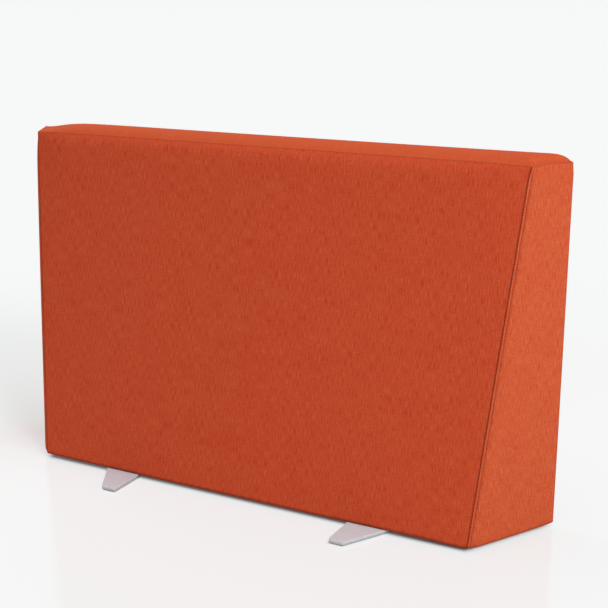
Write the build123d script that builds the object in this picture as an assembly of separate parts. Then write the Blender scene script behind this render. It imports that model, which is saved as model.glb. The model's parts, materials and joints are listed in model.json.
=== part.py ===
"""Bench divider: an upholstered screen with a leaning front, on two flat feet.

Millimetres. The origin is on the floor, in the middle of the whole object's
length and depth. +X runs along the divider to the viewer's right, -Y is the
front, which leans back, +Y is the upright back, and +Z is up.

A plywood box carries foam on its front, back, top and both ends. Five sewn
cloth panels cover the foam and are turned under the box, where a bottoming
cloth closes the middle. Two steel plates are bolted under the box.
"""
import os
from math import atan, cos, degrees, radians, sin, tan

from build123d import *

os.makedirs("parts", exist_ok=True)

# Upholstered body, from seam to seam
body_height = 800
front_length = 1125
underside_depth = 210
top_depth = 100
mitre_angle = 30

# Cloth, its turned-under hem and the thread of its topstitching
cloth = 1.5
hem_width = 50
thread_diameter = 0.8
stitch_margin = 8.5
stitch_gap = 0.1

# Staples that hold the hems to the base board
staple_width = 10
staple_wire = 0.7
staple_leg = 8
staple_spacing = 75
staple_inset = 40

# Swell of the padded sides above the seams that draw them in. A round takes at
# most a share of the crown's shortest edge.
top_swell = 18
top_shoulder = 24
top_round = 50
side_swell = 3.5
side_shoulder = 14
side_round = 30
crown_round_share = 0.45

# Foam behind each panel, under the swell
front_foam = 20
back_foam = 12
end_foam = 12
top_foam = 16

# Plywood box
thin_ply = 12
thick_ply = 18
rib_from_foot = 58
batten = 25

# Wood screws of the box
wood_screw_length = 38
wood_screw_diameter = 4
wood_screw_head = 8
wood_screw_cone = 2.5
screws_per_rib = 4
rib_screw_end = 90
end_screw_spacing = 70

# Feet: a steel plate with a thin rubber sole
plate_thickness = 8
plate_corner = 6
plate_edge_round = 1
foot_reach = 95
foot_width = 91
foot_from_corner = 189
foot_back_gap = 20
sole_thickness = 2
sole_inset = 2.5

# Foot bolts and the tee nuts that take them
bolt_length = 25
bolt_diameter = 8
bolt_head = 16
bolt_cone = 4.4
socket_across_flats = 5
socket_depth = 3
bolt_clearance = 0.5
thread_clearance = 0.1
nut_flange_diameter = 22
nut_flange = 1.5
nut_barrel_diameter = 10
nut_barrel = 10
bolt_front_row = 60
bolt_back_row = 72
bolt_inner_edge = 30
bolt_outer_edge = 35

# One overrun for every cut
overrun = 5

# Levels and depths that follow from the sizes
mitre = radians(mitre_angle)
lean = atan((underside_depth - top_depth) / body_height)
overall_depth = foot_reach + underside_depth + side_swell
tip_y = -overall_depth / 2
front_y = tip_y + foot_reach
back_y = front_y + underside_depth
body_bottom = sole_thickness + plate_thickness
frame_bottom = body_bottom + cloth
base_top = frame_bottom + thick_ply
seam_z = body_bottom + body_height
frame_top = seam_z - top_foam
rail_bottom = frame_top - thick_ply
sides = {"left": -1, "right": 1}


def front_line(inset):
    """Depth of the leaning front plane at a height, moved inwards by inset."""
    return lambda height: front_y + (height - body_bottom) * tan(lean) + inset / cos(lean)


def back_line(inset):
    """Depth of the upright back plane, moved inwards by inset."""
    return lambda height: back_y - inset


def end_line(side, inset):
    """Place along X of a mitred end plane at a depth, moved inwards by inset."""
    return lambda depth: side * (front_length / 2 + (depth - front_y) * tan(mitre) - inset / cos(mitre))


def upright(place):
    """Place along X of a plane square to the back."""
    return lambda depth: place


def corner(x_line, y_line, height):
    """Where an end plane, a front or back plane and a level meet."""
    depth = y_line(height)
    return Vector(x_line(depth), depth, height)


def hexahedron(ring_a, ring_b):
    """Solid with flat faces between two rings of four corners."""
    nexts = [*range(1, len(ring_a)), 0]
    walls = [[ring_a[here], ring_a[after], ring_b[after], ring_b[here]] for here, after in enumerate(nexts)]
    return Solid(Shell([make_face(Polyline(*ring, close=True)) for ring in (ring_a, ring_b, *walls)]))


def level_ring(height, near, far, left, right):
    """Four corners at one height, between two depths and two end planes."""
    return [corner(left, near, height), corner(right, near, height),
            corner(right, far, height), corner(left, far, height)]


def cell(low, high, near, far, left, right):
    """Board-like solid between two heights, two depths and two end planes."""
    return hexahedron(level_ring(low, near, far, left, right), level_ring(high, near, far, left, right))


# Rings on the padded sides. Each is the side's outline, moved inwards by a
# margin from its seams and outwards from the seam plane by a swell.
def front_ring(swell, margin, low):
    line = front_line(-swell)
    left, right = end_line(-1, margin), end_line(1, margin)
    return [corner(left, line, low), corner(right, line, low),
            corner(right, line, seam_z - margin), corner(left, line, seam_z - margin)]


def back_ring(swell, margin, low):
    line = back_line(-swell)
    left, right = end_line(-1, margin), end_line(1, margin)
    return [corner(left, line, low), corner(right, line, low),
            corner(right, line, seam_z - margin), corner(left, line, seam_z - margin)]


def end_ring(side, swell, margin, low):
    end = end_line(side, -swell)
    near, far = front_line(margin), back_line(margin)
    return [corner(end, near, low), corner(end, far, low),
            corner(end, far, seam_z - margin), corner(end, near, seam_z - margin)]


def top_ring(swell, margin, low):
    left, right = end_line(-1, margin), end_line(1, margin)
    return level_ring(low + swell, front_line(margin), back_line(margin), left, right)


def ring_centre(ring):
    return sum(ring, Vector(0, 0, 0)) / len(ring)


def swollen(ring_at, low, swell, shoulder, round_radius, sink):
    """Padded swell of one side: shoulders that rise from the seams to a crown.

    sink lowers the whole surface by the cloth, for the foam beneath it.
    """
    slope = atan(swell / shoulder)
    start = sink / sin(slope)
    rise = swell - sink
    crown_ring = ring_at(rise, start + rise / tan(slope), low)
    solid = hexahedron(ring_at(0, start, low), crown_ring)
    crown = solid.faces().sort_by_distance(ring_centre(crown_ring))[0]
    hem_edge_height = low + side_swell
    shoulders = crown.edges().filter_by(lambda edge: edge.center().Z > hem_edge_height)
    shortest_edge = min(edge.length for edge in crown.edges())
    widest_round = crown_round_share * shortest_edge / tan(slope / 2)
    return fillet(shoulders, min(round_radius - sink, widest_round))


def top_swollen(sink):
    return swollen(top_ring, seam_z, top_swell, top_shoulder, top_round, sink)


def side_swollen(ring_at, sink):
    low = body_bottom if sink == 0 else frame_bottom
    return swollen(ring_at, low, side_swell, side_shoulder, side_round, sink)


def hem(ring_in_plan):
    """Strip of a side's cloth that is turned under the box."""
    low_ring = [Vector(point.X, point.Y, body_bottom) for point in ring_in_plan]
    high_ring = [Vector(point.X, point.Y, frame_bottom) for point in ring_in_plan]
    return hexahedron(low_ring, high_ring)


def outline_corners(inset):
    """Corners of the underside: front left, front right, back right, back left."""
    left, right = end_line(-1, inset), end_line(1, inset)
    return level_ring(body_bottom, front_line(inset), back_line(inset), left, right)


def make_covers():
    """Five sewn cloth panels, four of them with their hems, and the bottoming cloth."""
    outer, inner = outline_corners(0), outline_corners(hem_width)
    hems = {}
    for index, name in enumerate(("front", "right", "back", "left")):
        after = (index + 1) % len(outer)
        hems[name] = hem([outer[index], outer[after], inner[after], inner[index]])
    covers = {"top_cover": top_swollen(0) - top_swollen(cloth)}
    rings = {"front": front_ring, "back": back_ring}
    for name, side in sides.items():
        rings[name] = lambda swell, margin, low, side=side: end_ring(side, swell, margin, low)
    for name, ring_at in rings.items():
        label = f"{name}_cover" if name in ("front", "back") else f"{name}_end_cover"
        covers[label] = side_swollen(ring_at, 0) - side_swollen(ring_at, cloth) + hems[name]
    covers["underside_cloth"] = hem(inner)
    return covers, rings


def make_foams(rings):
    """Foam glued to the box: a slab behind each panel, with the panel's swell."""
    left, right = end_line(-1, 0), end_line(1, 0)
    foams = {
        "front_foam": cell(frame_bottom, frame_top, front_line(0), front_line(front_foam), left, right)
        + side_swollen(front_ring, cloth),
        "back_foam": cell(frame_bottom, frame_top, back_line(back_foam), back_line(0), left, right)
        + side_swollen(back_ring, cloth),
        "top_foam": cell(frame_top, seam_z, front_line(0), back_line(0), left, right) + top_swollen(cloth),
    }
    for name, side in sides.items():
        slab = cell(frame_bottom, frame_top, front_line(front_foam), back_line(back_foam),
                    end_line(side, end_foam), end_line(side, 0))
        foams[f"{name}_end_foam"] = slab + side_swollen(rings[name], cloth)
    return foams


def make_boards():
    """Plywood box: front, back, base, top rail, two mitred ends and three ribs."""
    near_outer, near_inner = front_line(front_foam), front_line(front_foam + thin_ply)
    far_outer, far_inner = back_line(back_foam), back_line(back_foam + thin_ply)
    left, right = end_line(-1, end_foam), end_line(1, end_foam)
    left_inner, right_inner = end_line(-1, end_foam + thick_ply), end_line(1, end_foam + thick_ply)
    boards = {
        "front_board": cell(frame_bottom, frame_top, near_outer, near_inner, left, right),
        "back_board": cell(frame_bottom, frame_top, far_inner, far_outer, left, right),
        "base_board": cell(frame_bottom, base_top, near_inner, far_inner, left_inner, right_inner),
        "top_rail": cell(rail_bottom, frame_top, near_inner, far_inner, left_inner, right_inner),
    }
    for name, side in sides.items():
        boards[f"{name}_end_board"] = cell(
            frame_bottom, frame_top, near_inner, far_inner,
            end_line(side, end_foam + thick_ply), end_line(side, end_foam))
    for name, place in rib_places().items():
        boards[name] = cell(base_top, rail_bottom, near_inner, far_inner,
                            upright(place - thick_ply / 2), upright(place + thick_ply / 2))
    return boards


def rib_places():
    """The outer ribs stand over the feet, between the two rows of bolts."""
    outer = front_length / 2 - foot_from_corner - foot_width + rib_from_foot
    return {"left_rib": -outer, "centre_rib": 0, "right_rib": outer}


def bay_walls():
    """End planes of the four bays that the ribs leave, from left to right."""
    half = thick_ply / 2
    places = list(rib_places().values())
    starts = [end_line(-1, end_foam + thick_ply)] + [upright(place + half) for place in places]
    stops = [upright(place - half) for place in places] + [end_line(1, end_foam + thick_ply)]
    return list(zip(starts, stops))


def make_battens():
    """Softwood battens glued along the back board, low and high in each bay."""
    far, near = back_line(back_foam + thin_ply), back_line(back_foam + thin_ply + batten)
    battens = {}
    for number, (start, stop) in enumerate(bay_walls(), 1):
        battens[f"lower_batten_{number}"] = cell(base_top, base_top + batten, near, far, start, stop)
        battens[f"upper_batten_{number}"] = cell(rail_bottom - batten, rail_bottom, near, far, start, stop)
    return battens


def wood_screw():
    """Countersunk wood screw along +Z, with its head's face at the origin."""
    bottom = (Align.CENTER, Align.CENTER, Align.MIN)
    shank = Cylinder(wood_screw_diameter / 2, wood_screw_length, align=bottom)
    return Cone(wood_screw_head / 2, wood_screw_diameter / 2, wood_screw_cone, align=bottom) + shank


def wood_screw_hole():
    """Hole that a wood screw fills, open above its head."""
    mouth = Cylinder(wood_screw_head / 2, overrun, align=(Align.CENTER, Align.CENTER, Align.MAX))
    return wood_screw() + mouth


def wood_screw_seats():
    """Planes whose +Z runs along a wood screw, from its head into the box."""
    face_y = back_y - back_foam
    seats = []
    spacing = (rail_bottom - base_top - 2 * rib_screw_end) / (screws_per_rib - 1)
    for place in rib_places().values():
        for index in range(screws_per_rib):
            height = base_top + rib_screw_end + index * spacing
            seats.append(Plane((place, face_y, height), x_dir=(0, 0, 1), z_dir=(0, -1, 0)))
    for start, stop in bay_walls():
        place = (start(face_y) + stop(face_y)) / 2
        for height in (frame_bottom + thick_ply / 2, frame_top - thick_ply / 2):
            seats.append(Plane((place, face_y, height), x_dir=(0, 0, 1), z_dir=(0, -1, 0)))
    for side in sides.values():
        for low, offset in ((frame_bottom, -end_screw_spacing / 2), (frame_bottom, end_screw_spacing / 2),
                            (rail_bottom, 0)):
            height = low + thick_ply / 2
            middle = (front_line(front_foam + thin_ply)(height) + back_line(back_foam + thin_ply)(height)) / 2
            depth = middle + offset
            origin = (end_line(side, end_foam)(depth), depth, height)
            seats.append(Plane(origin, x_dir=(0, 0, 1), z_dir=(-side * cos(mitre), sin(mitre), 0)))
    return seats


def foot_outer_line(depth):
    """The foot's outer edge is parallel to the body's mitred end."""
    return front_length / 2 - foot_from_corner + (depth - front_y) * tan(mitre)


foot_inner_x = front_length / 2 - foot_from_corner - foot_width
foot_back_y = back_y - foot_back_gap


def foot_face(side):
    """Plan of a foot: a right-angled trapezoid that narrows to its tip."""
    points = [(side * foot_inner_x, tip_y), (side * foot_outer_line(tip_y), tip_y),
              (side * foot_outer_line(foot_back_y), foot_back_y), (side * foot_inner_x, foot_back_y)]
    face = make_face(Polyline(*points, close=True))
    return fillet(face.vertices(), plate_corner)


def bolt_places(side):
    """Two rows of two bolts, under the middle of the base board."""
    places = []
    for depth in (front_y + bolt_front_row, back_y - bolt_back_row):
        for place in (foot_inner_x + bolt_inner_edge, foot_outer_line(depth) - bolt_outer_edge):
            places.append(Vector(side * place, depth, 0))
    return places


def foot_bolt():
    """Countersunk bolt along +Z, with its head's face at the origin."""
    bottom = (Align.CENTER, Align.CENTER, Align.MIN)
    shank = Cylinder(bolt_diameter / 2, bolt_length, align=bottom)
    head = Cone(bolt_head / 2, bolt_diameter / 2, bolt_cone, align=bottom)
    socket = extrude(RegularPolygon(socket_across_flats / 2, 6, major_radius=False), socket_depth)
    return head + shank - socket


def bolt_hole():
    """Countersunk hole for a foot bolt, with the head's face at the origin."""
    bottom = (Align.CENTER, Align.CENTER, Align.MIN)
    shaft = Cylinder(bolt_diameter / 2 + bolt_clearance, bolt_length, align=bottom)
    return Cone(bolt_head / 2, bolt_diameter / 2, bolt_cone, align=bottom) + shaft


def tee_nut():
    """Flanged nut pressed into the base board's top, with its flange's underside at the origin."""
    flange = Cylinder(nut_flange_diameter / 2, nut_flange, align=(Align.CENTER, Align.CENTER, Align.MIN))
    barrel = Cylinder(nut_barrel_diameter / 2, nut_barrel, align=(Align.CENTER, Align.CENTER, Align.MAX))
    bore = Cylinder(bolt_diameter / 2 + thread_clearance, 2 * (nut_barrel + nut_flange))
    return flange + barrel - bore


def barrel_hole():
    return Cylinder(nut_barrel_diameter / 2, nut_barrel + overrun,
                    align=(Align.CENTER, Align.CENTER, Align.MAX)).moved(Location((0, 0, overrun)))


def placed(solid, places, height):
    """Copies of a solid at places in plan, at one height."""
    return [solid.moved(Location((place.X, place.Y, height))) for place in places]


def make_feet():
    """Steel plates with rounded corners and a softened rim, on thin rubber soles."""
    feet = {}
    for name, side in sides.items():
        face = foot_face(side)
        plate = extrude(face, plate_thickness).moved(Location((0, 0, sole_thickness)))
        rim = plate.faces().sort_by(Axis.Z)[-1].edges()
        plate = fillet(rim, plate_edge_round)
        feet[f"{name}_foot_plate"] = plate - placed(bolt_hole(), bolt_places(side), sole_thickness)
        feet[f"{name}_foot_sole"] = extrude(offset(face, -sole_inset), sole_thickness)
    return feet


def make_topstitching():
    """Thread sewn up each end panel, beside its front seam."""
    slope = atan(side_swell / side_shoulder)
    lift = stitch_margin * tan(slope) + (thread_diameter / 2 + stitch_gap) / cos(slope)
    threads = {}
    for name, side in sides.items():
        start, _, _, stop = end_ring(side, lift, stitch_margin, frame_bottom)
        section = Plane(start, z_dir=stop - start) * Circle(thread_diameter / 2)
        threads[f"{name}_topstitching"] = extrude(section, (stop - start).length)
    return threads


def staple():
    """Staple along X: its crown is pulled into the cloth, and its legs point up."""
    bottom = (Align.CENTER, Align.CENTER, Align.MIN)
    leg = Box(staple_wire, staple_wire, staple_leg, align=bottom)
    crown = Box(staple_width, staple_wire, staple_wire, align=bottom)
    reach = (staple_width - staple_wire) / 2
    return crown + leg.moved(Location((-reach, 0, 0))) + leg.moved(Location((reach, 0, 0)))


def make_staples():
    """Staples in even rows along the four hems, into the base board."""
    corners = outline_corners(staple_inset)
    staples = []
    for start, stop in zip(corners, corners[1:] + corners[:1]):
        edge = stop - start
        count = max(1, int(edge.length // staple_spacing))
        for index in range(count):
            seat = Plane(start + edge * (index + 1) / (count + 1), x_dir=edge, z_dir=(0, 0, 1))
            staples.append(staple().moved(seat.location))
    return staples


def drilled(shape, tools):
    """A shape cut by the tools that reach it, one after another."""
    box = shape.bounding_box()
    for tool in tools:
        reach = tool.bounding_box()
        apart = any(
            high <= low
            for low, high in ((box.min.X, reach.max.X), (reach.min.X, box.max.X), (box.min.Y, reach.max.Y),
                              (reach.min.Y, box.max.Y), (box.min.Z, reach.max.Z), (reach.min.Z, box.max.Z)))
        if not apart:
            shape = shape - tool
    return shape


def solids_of(shape):
    """All the solids of a shape, or of a list of shapes."""
    shapes = shape if isinstance(shape, list) else [shape]
    return [solid for item in shapes for solid in item.solids()]


covers, rings = make_covers()
boards = make_boards()
wood_screws = [wood_screw().moved(seat.location) for seat in wood_screw_seats()]
wood_screw_holes = [wood_screw_hole().moved(seat.location) for seat in wood_screw_seats()]
staples = make_staples()
bolts_in_plan = [place for side in sides.values() for place in bolt_places(side)]
bolt_shafts = placed(bolt_hole(), bolts_in_plan, sole_thickness)

for name in boards:
    if name != "front_board":
        boards[name] = drilled(boards[name], wood_screw_holes)
barrel_holes = placed(barrel_hole(), bolts_in_plan, base_top)
boards["base_board"] = drilled(boards["base_board"], bolt_shafts + barrel_holes + staples)
for name in covers:
    covers[name] = drilled(covers[name], staples + bolt_shafts)

nodes = {**covers, **make_topstitching(), **make_foams(rings), **boards, **make_battens(), **make_feet()}
nodes["frame_screws"] = wood_screws
nodes["hem_staples"] = staples
nodes["foot_bolts"] = placed(foot_bolt(), bolts_in_plan, sole_thickness)
nodes["tee_nuts"] = placed(tee_nut(), bolts_in_plan, base_top)

for name, shape in nodes.items():
    solids = solids_of(shape)
    export_step(solids[0] if len(solids) == 1 else Compound(children=solids), f"parts/{name}.step")

print("front leans back by", round(degrees(lean), 2), "degrees; back length",
      round(2 * end_line(1, 0)(back_y), 1), "mm; nodes", len(nodes))
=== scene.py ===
# %% [markdown]
# # An upholstered bench divider
# The divider is a plywood box with foam glued to its sides and five sewn cloth panels pulled over the foam.
# It stands on two flat steel feet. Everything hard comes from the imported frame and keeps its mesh.
# What is soft is modelled here: the cloth panels, the foam under them, the stitches and the bottoming cloth.

import json
import math

import bpy
import numpy as np
from mathutils import Matrix, Vector


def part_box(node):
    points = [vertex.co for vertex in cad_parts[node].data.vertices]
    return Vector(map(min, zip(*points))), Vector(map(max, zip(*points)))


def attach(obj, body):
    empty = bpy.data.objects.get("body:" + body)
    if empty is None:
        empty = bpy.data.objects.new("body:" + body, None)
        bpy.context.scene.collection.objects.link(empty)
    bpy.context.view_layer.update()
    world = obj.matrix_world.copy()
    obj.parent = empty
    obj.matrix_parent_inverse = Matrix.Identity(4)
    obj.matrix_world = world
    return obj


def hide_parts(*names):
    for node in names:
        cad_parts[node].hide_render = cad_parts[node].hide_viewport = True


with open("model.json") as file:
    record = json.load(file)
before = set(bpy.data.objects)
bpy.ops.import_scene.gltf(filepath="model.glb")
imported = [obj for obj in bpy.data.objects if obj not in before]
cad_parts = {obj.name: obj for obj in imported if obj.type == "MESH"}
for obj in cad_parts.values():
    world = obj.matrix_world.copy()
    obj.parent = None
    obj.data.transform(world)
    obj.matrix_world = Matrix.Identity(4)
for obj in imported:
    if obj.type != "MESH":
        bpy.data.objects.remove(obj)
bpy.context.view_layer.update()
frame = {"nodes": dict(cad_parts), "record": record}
nodes = frame["nodes"]

# %% [markdown]
# ## Camera
# A long lens far away keeps the verticals calm. The viewpoint is a little above the top edge and to the
# right of the front, so that the front, the top and the right end all show.

# %% Place the camera
azimuth = 27.848
elevation = 15.06
camera_data = bpy.data.cameras.new("camera")
camera_data.sensor_width = 36
camera_data.lens = 70.33
camera = bpy.data.objects.new("camera", camera_data)
camera.location = (1.3265, -2.2401, 1.1596)
camera.rotation_euler = (math.radians(90 - elevation), 0, math.radians(azimuth))
bpy.context.scene.collection.objects.link(camera)
bpy.context.scene.camera = camera

# %% [markdown]
# ## The body's planes
# Each side of the body is a flat trapezoid between seams. Its corners follow from the frame: the top panel's
# box gives the seam height, the depth of the top and the length of the back. The front leans back, and the
# two ends run outwards by 30 degrees towards the back.

# %% Corners and normals of the five sides
mitre = math.radians(30)
underside_depth = 0.210
body_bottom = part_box("front_cover")[0].z
seam_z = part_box("top_cover")[0].z
front_top_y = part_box("top_cover")[0].y
back_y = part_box("top_cover")[1].y
back_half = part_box("top_cover")[1].x
front_y = back_y - underside_depth


def corner(side, depth, height):
    """A corner of the body: side is -1 on the left and 1 on the right."""
    return Vector((side * (back_half - (back_y - depth) * math.tan(mitre)), depth, height))


front_low, front_high = (front_y, body_bottom), (front_top_y, seam_z)
back_low, back_high = (back_y, body_bottom), (back_y, seam_z)
# Corners as seen from outside: bottom left, bottom right, top right, top left
rings = {
    "front": ((-1, front_low), (1, front_low), (1, front_high), (-1, front_high)),
    "back": ((1, back_low), (-1, back_low), (-1, back_high), (1, back_high)),
    "right_end": ((1, front_low), (1, back_low), (1, back_high), (1, front_high)),
    "left_end": ((-1, back_low), (-1, front_low), (-1, front_high), (-1, back_high)),
    "top": ((-1, front_high), (1, front_high), (1, back_high), (-1, back_high)),
}
corners = {name: [corner(side, *place) for side, place in ring] for name, ring in rings.items()}
# Neighbours across the bottom, right, top and left edge
neighbours = {
    "front": ("underside", "right_end", "top", "left_end"),
    "back": ("underside", "left_end", "top", "right_end"),
    "right_end": ("underside", "back", "top", "front"),
    "left_end": ("underside", "front", "top", "back"),
    "top": ("front", "right_end", "back", "left_end"),
}
normals = {name: (ring[1] - ring[0]).cross(ring[3] - ring[0]).normalized()
           for name, ring in corners.items()}
normals["underside"] = Vector((0, 0, -1))
for name, ring in corners.items():
    print(name, "faces", [round(x, 3) for x in normals[name]], "width", round((ring[1] - ring[0]).length, 3))

# %% [markdown]
# ## Seams, lips and hems
# Where two panels are sewn together, both edges roll over and dive into the seam. In section that is an arc
# that starts flat on the panel and ends on the line that halves the angle between the two panels. Both panels
# end on that line, so no gap opens between them. At the bottom the cloth turns over the edge of the box and
# runs on under it as a hem.

# %% Section of a seam, and of the turned bottom edge
long_seam_radius = 0.0009
end_seam_radii = {"front": 0.0013, "top": 0.0006, "back": 0.0005}
bottom_radius = 0.004
hem_width = 0.050
stitch_margin = 0.0085
arc_steps = 6


def interior_angle(one, other):
    return math.pi - normals[one].angle(normals[other])


def seam_section(angle, radius):
    """(distance from the seam, depth) of points from the seam's bottom out to the flat panel."""
    reach = radius / math.tan(angle / 4)
    turns = np.linspace(math.pi - angle / 2, 0, arc_steps)
    return [(reach - radius * math.sin(turn), radius - radius * math.cos(turn)) for turn in turns]


def is_end(name):
    return name.endswith("end")


def stitched(name, other):
    """The end panels are topstitched beside their front seam."""
    return is_end(name) and other == "front"


def seam_radius(one, other):
    """The topstitched seam at the front is the fullest, and the one at the back the sharpest."""
    for name, neighbour in ((one, other), (other, one)):
        if is_end(name):
            return end_seam_radii[neighbour]
    return long_seam_radius


# Distances from the seam at which the cloth gets a line of points, before the even spacing of the middle
plain_steps = (0.0045, 0.007, 0.010, 0.014, 0.019, 0.025, 0.032, 0.040)
beside_stitches = (-0.0014, -0.0007, 0, 0.0007, 0.0014, 0.0025)
stitched_steps = (0.0048, 0.0062, *(stitch_margin + step for step in beside_stitches), *plain_steps[3:])
least_step = 0.0004


def border(name, other):
    """Section of a panel beside one of its seams, out to where the even spacing starts."""
    section = seam_section(interior_angle(name, other), seam_radius(name, other))
    flat_from = section[-1][0]
    steps = stitched_steps if stitched(name, other) else plain_steps
    return section + [(step, 0.0) for step in steps if step > flat_from + least_step]


beside_seam = border("right_end", "front")
print("front seam of the end:", [tuple(round(1000 * x, 2) for x in pair) for pair in beside_seam])

# %% [markdown]
# ## A panel as a grid
# A grid primitive has the topology of woven cloth: its rows are weft and its columns are warp. Each panel
# takes a grid with one row or column for each line of the sections above, and the grid's points are moved to
# their places on the panel. Points crowd near the seams, where the cloth bends, and spread out in the middle.
# The cloth's own coordinates, in metres, go into a UV map, so that the weave follows the panel.

# %% Rows and columns of a panel
spacing = 0.0125
hem_steps = (hem_width, 0.040, 0.030, 0.022, 0.016, 0.011, 0.0075)
roll_steps = 9
edge_row = 0.0085
# Beside the bottom edge the hem keeps a share of each seam's section, and further in its points lie closer
narrow_hem = 0.012
narrow_hem_fade = 0.25
crowd = 0.0009
crowd_start = 0.3


def hem_rows(name):
    """Rows from the hem's inner edge, round the bottom edge and onto the panel: height, depth, turn, fade."""
    angle = interior_angle(name, "underside")
    rows = [(step * math.cos(angle), step * math.sin(angle), math.pi - angle,
             narrow_hem_fade if step < narrow_hem else 0.0) for step in hem_steps]
    reach = bottom_radius / math.tan(angle / 2)
    for turn in np.linspace(math.pi - angle, 0, roll_steps):
        rows.append((reach - bottom_radius * math.sin(turn), bottom_radius * (1 - math.cos(turn)), turn, 1.0))
    return rows + [(edge_row, 0.0, 0.0, 1.0)]


def even(start, stop):
    """Even steps strictly between two places."""
    count = max(1, round((stop - start) / spacing))
    return [start + (stop - start) * k / count for k in range(1, count)]


class Panel:
    """The grid of one cloth panel, before the foam swells it."""

    def __init__(self, name):
        self.name = name
        low_left, low_right, high_right, high_left = corners[name]
        below, right, above, left = neighbours[name]
        self.normal = normals[name]
        self.along = (low_right - low_left).normalized()
        self.up = self.normal.cross(self.along)
        self.height = (high_left - low_left).dot(self.up)
        self.width = (low_right - low_left).length
        self.left_slope = (high_left - low_left).dot(self.along) / self.height
        self.right_slope = (high_right - low_right).dot(self.along) / self.height
        self.left, self.right = border(name, left), border(name, right)
        self.left_angle = interior_angle(name, left)
        self.right_angle = interior_angle(name, right)
        self.origin = low_left
        top = border(name, above)
        bottom = [(v, z, 0.0, 1.0) for v, z in border(name, below)] if name == "top" else hem_rows(name)
        middle = even(bottom[-1][0], self.height - top[-1][0])
        self.rows = bottom + [(v, 0.0, 0.0, 1.0) for v in middle]
        self.rows += [(self.height - v, z, 0.0, 1.0) for v, z in reversed(top)]
        self.hem = name != "top"
        self.first_face = len(hem_steps) + roll_steps - 1 if self.hem else 0
        inner = even(self.left[-1][0], self.width - self.right[-1][0])
        self.inner = len(inner)
        self.make_points()

    def make_points(self):
        """Points, cloth coordinates and outward directions, with the distance to each seam."""
        count = len(self.left) + self.inner + len(self.right)
        shape = (len(self.rows), count)
        self.points, self.outward = np.zeros((*shape, 3)), np.zeros((*shape, 3))
        self.uv = np.zeros((*shape, 2))
        below, right, above, left = neighbours[self.name]
        seams = [left, right, above] + ([] if self.hem else [below])
        self.distance = {other: np.zeros(shape) for other in seams}
        travelled = 0.0
        previous = self.rows[0]
        for j, (v, z, turn, fade) in enumerate(self.rows):
            travelled += math.hypot(v - previous[0], z - previous[1])
            previous = (v, z)
            under = self.hem and j < self.first_face
            push = self.normal * math.cos(turn) - self.up * math.sin(turn)
            columns = self.columns(v, z if under else 0.0, fade)
            for i, (place, depth, from_left, from_right) in enumerate(columns):
                point = self.origin + self.up * v + self.along * place
                self.points[j, i] = point - (self.normal * z + push * depth if under
                                             else self.normal * max(z, depth))
                self.uv[j, i] = (place, travelled)
                self.outward[j, i] = push
                for other, distance in zip(seams, (from_left, from_right, self.height - v, v)):
                    self.distance[other][j, i] = distance
        self.level = np.array([row[0] for row in self.rows])[:, None]

    def columns(self, v, z, fade):
        """Along one row: place, depth of the side seams, and distances to the left and right seam."""
        start = self.left_slope * v
        stop = self.width + self.right_slope * v
        sides = []
        for section, angle, slope in ((self.left, self.left_angle, self.left_slope),
                                      (self.right, self.right_angle, self.right_slope)):
            shift = z / math.tan(angle / 2)
            stretch = math.hypot(1, slope)
            found = []
            for k, (distance, depth) in enumerate(section):
                if k < arc_steps:
                    distance = fade * distance + (1 - fade) * (k + crowd_start) * crowd
                found.append(((distance + shift) * stretch, depth * fade))
            sides.append(found)
        left, right = sides
        first, last = start + left[-1][0], stop - right[-1][0]
        row = [(start + place, depth) for place, depth in left]
        row += [(first + (last - first) * (k + 1) / (self.inner + 1), 0.0) for k in range(self.inner)]
        row += [(stop - place, depth) for place, depth in reversed(right)]
        return [(place, depth, place - start, stop - place) for place, depth in row]


panels = {name: Panel(name) for name in corners}
for name, panel in panels.items():
    print(name, "grid of", panel.points.shape[1], "by", panel.points.shape[0], "points")


# %% Turn a grid primitive into a panel
def cloth_grid(name, points, uv=None):
    """A grid primitive with as many rows and columns as points, moved to them."""
    rows, count = points.shape[:2]
    bpy.ops.object.select_all(action="DESELECT")
    bpy.ops.mesh.primitive_grid_add(x_subdivisions=count - 1, y_subdivisions=rows - 1, size=1)
    piece = bpy.context.object
    piece.name = name
    flat = np.array([vertex.co for vertex in piece.data.vertices])
    order = np.lexsort((flat[:, 0], flat[:, 1]))
    placed = np.zeros((rows * count, 3))
    placed[order] = points.reshape(-1, 3)
    piece.data.vertices.foreach_set("co", placed.ravel())
    if uv is not None:
        by_vertex = np.zeros((rows * count, 2))
        by_vertex[order] = uv.reshape(-1, 2)
        layer = piece.data.uv_layers[0]
        layer.name = "cloth"
        loops = np.zeros(len(piece.data.loops), int)
        piece.data.loops.foreach_get("vertex_index", loops)
        layer.data.foreach_set("uv", by_vertex[loops].ravel())
    piece.data.update()
    return piece, order


# %% [markdown]
# ## Foam pushes the cloth out
# Foam behind a sewn panel swells it until the cloth is tight. A cloth simulation shows how: the panel is held
# along its seams, pressure pushes from behind, and the cloth rises steeply at the seams and less in the
# corners. The board behind the foam keeps the middle flat, so the rise is capped. The long top edges are the
# softest: there the front and the back roll over thick foam towards a high crown.

# %% Swell of each side, by the seam that is nearest
frames = 20
seam_hold = 0.002
crown_hold = 0.0002
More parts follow.
